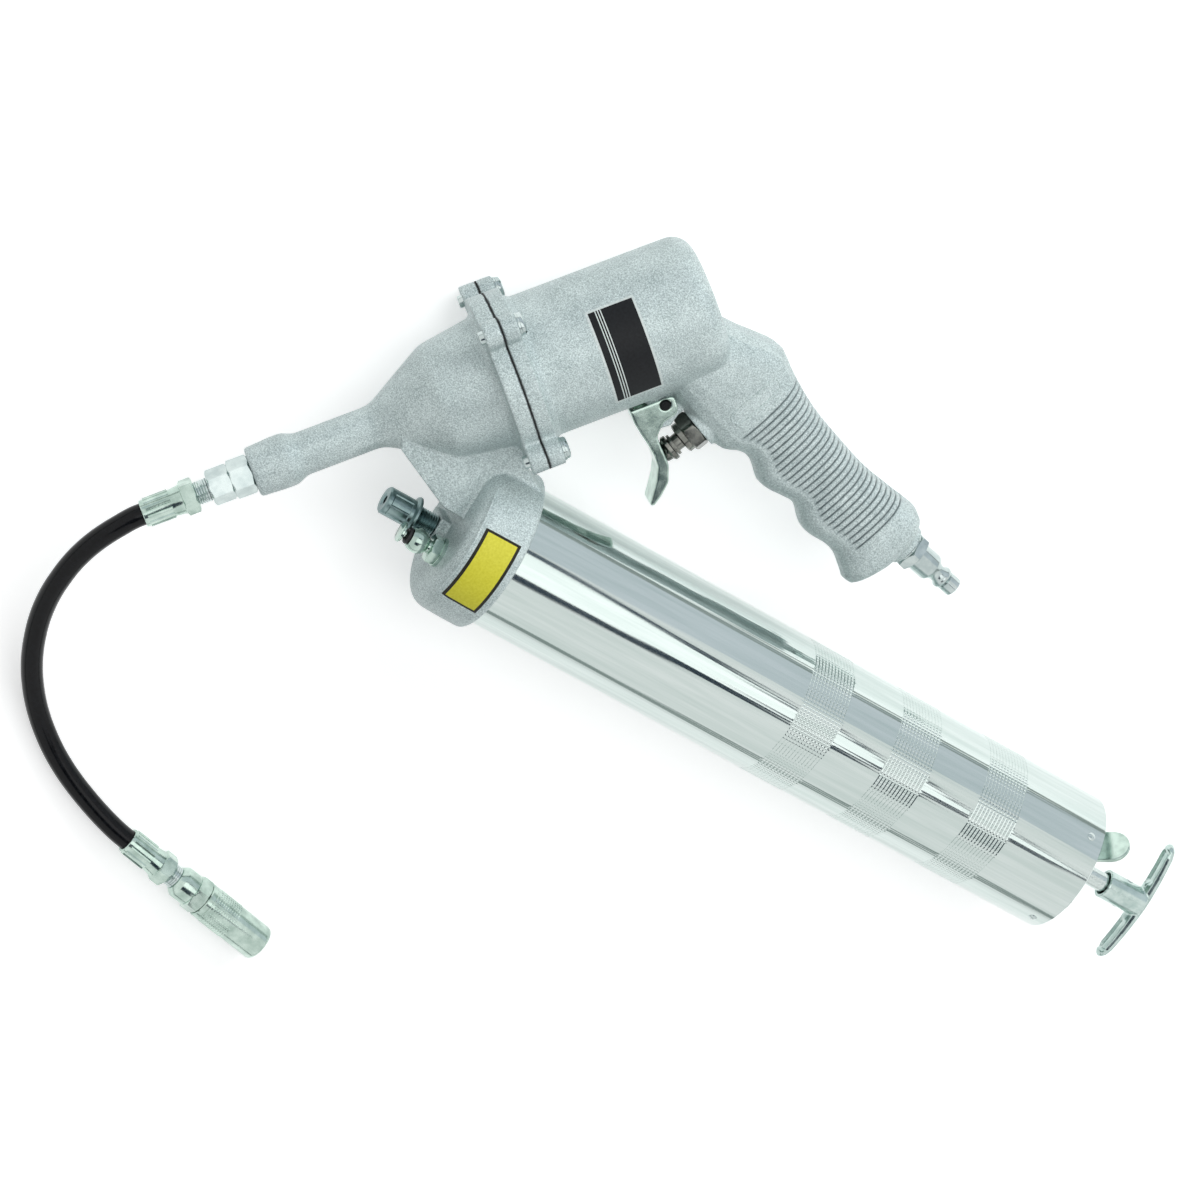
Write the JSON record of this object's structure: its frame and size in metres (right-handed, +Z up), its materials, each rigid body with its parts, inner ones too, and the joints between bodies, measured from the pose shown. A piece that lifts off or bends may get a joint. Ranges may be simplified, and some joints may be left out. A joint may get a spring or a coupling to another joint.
{
  "type": "air-powered grease gun",
  "caption": "Air-powered grease gun with a pistol grip and trigger, a chromed cartridge barrel with a pull rod and T-handle, and a short hose with a grease coupler.",
  "frame": {"origin": "on the surface the gun lies on, under the middle of its outline without the hose", "axes": "+X along the barrel towards the T-handle, +Y from the barrel towards the air motor and grip, +Z up from the surface; the gun lies on its side as in the picture"},
  "size_m": [0.4474, 0.3314, 0.0646],
  "materials": {
    "hammer_paint": "die-cast body under pale grey-green hammertone paint",
    "gasket_fibre": "pressed fibre sheet",
    "zinc_steel": "bright zinc-plated steel",
    "plated_steel": "zinc plate with a pale yellow-green passivation",
    "ground_steel": "ground and polished steel",
    "spring_steel": "bright spring wire",
    "black_steel": "blackened steel",
    "dark_nickel": "dark nickel-plated steel",
    "aluminium": "machined",
    "barrel_chrome": "mirror chrome plate on a rolled steel tube",
    "seal_rubber": "moulded nitrile rubber",
    "hose_cover": "smooth glossy thermoplastic cover"
  },
  "bodies": {
    "gun": {"front_housing": "hammer_paint", "motor_housing": "hammer_paint", "flange_gasket": "gasket_fibre", "flange_screws": "zinc_steel", "lock_washers": "zinc_steel", "plunger_packing": "seal_rubber", "return_spring": "spring_steel", "check_spring": "spring_steel", "outlet_adapter": "zinc_steel", "trigger_pin": "black_steel", "valve_body": "dark_nickel", "valve_spring": "spring_steel", "air_plug": "plated_steel", "barrel_tube": "barrel_chrome", "barrel_gasket": "seal_rubber", "barrel_end_cap": "zinc_steel", "cap_rivets": "zinc_steel", "follower_spring": "spring_steel", "latch_spring": "spring_steel", "filler_fitting": "zinc_steel", "bleeder_body": "plated_steel", "bleeder_seal": "seal_rubber", "bleeder_spring": "spring_steel", "hose_end_inlet": "zinc_steel", "ferrule_inlet": "plated_steel", "hose": "hose_cover", "ferrule_outlet": "plated_steel", "hose_end_outlet": "zinc_steel", "coupler_body": "plated_steel", "coupler_sleeve": "plated_steel", "coupler_jaws": "ground_steel", "coupler_seal": "seal_rubber"},
    "air_motor_piston": {"air_piston": "aluminium", "piston_seal": "seal_rubber", "pump_plunger": "ground_steel"},
    "check_ball": {"check_ball": "ground_steel"},
    "trigger": {"trigger": "plated_steel"},
    "valve_stem": {"valve_stem": "dark_nickel"},
    "follower": {"follower_cup": "seal_rubber", "follower_plate": "zinc_steel"},
    "rod": {"follower_rod": "ground_steel", "t_handle": "plated_steel", "handle_pin": "zinc_steel"},
    "latch": {"latch_lever": "zinc_steel"},
    "bleeder_button": {"bleeder_button": "plated_steel"}
  },
  "joints": [
    {"name": "trigger_pull", "type": "hinge", "parent": "gun", "child": "trigger", "pos_m": [-0.07474, 0.03031, 0.0323], "axis": [0, 0, 1], "range_deg": [0, 8.2], "stiffness_Nm_per_rad": 1.4, "springref_deg": -11.46},
    {"name": "valve_open", "type": "slide", "parent": "gun", "child": "valve_stem", "axis": [0.3338, 0.9426, 0], "range_m": [0, 0.0024], "deforming": ["valve_spring"]},
    {"name": "piston_stroke", "type": "slide", "parent": "gun", "child": "air_motor_piston", "axis": [-0.6293, -0.7771, 0], "range_m": [0, 0.04], "stiffness_N_per_m": 400, "springref_m": -0.03, "deforming": ["return_spring"]},
    {"name": "check_lift", "type": "slide", "parent": "gun", "child": "check_ball", "axis": [-0.6293, -0.7771, 0], "range_m": [0, 0.0012], "stiffness_N_per_m": 300, "springref_m": -0.002, "deforming": ["check_spring"]},
    {"name": "follower_pull", "type": "slide", "parent": "gun", "child": "follower", "axis": [1, 0, 0], "range_m": [0, 0.19], "stiffness_N_per_m": 250, "springref_m": -0.06, "deforming": ["follower_spring"]},
    {"name": "rod_turn", "type": "hinge", "parent": "follower", "child": "rod", "pos_m": [0.18081, -0.0502, 0.0323], "axis": [1, 0, 0], "continuous": true},
    {"name": "latch_tilt", "type": "hinge", "parent": "gun", "child": "latch", "pos_m": [0.16791, -0.05824, 0.02602], "axis": [0, -0.6157, 0.788], "range_deg": [0, 4], "stiffness_Nm_per_rad": 1, "springref_deg": -8.59, "deforming": ["latch_spring"]},
    {"name": "bleeder_press", "type": "slide", "parent": "gun", "child": "bleeder_button", "axis": [1, 0, 0], "range_m": [0, 0.0015], "stiffness_N_per_m": 800, "springref_m": -0.002, "deforming": ["bleeder_spring"]}
  ],
  "couplings": [
    {"joint": "valve_open", "follows": "trigger_pull", "m_per_rad": 0.01661}
  ]
}
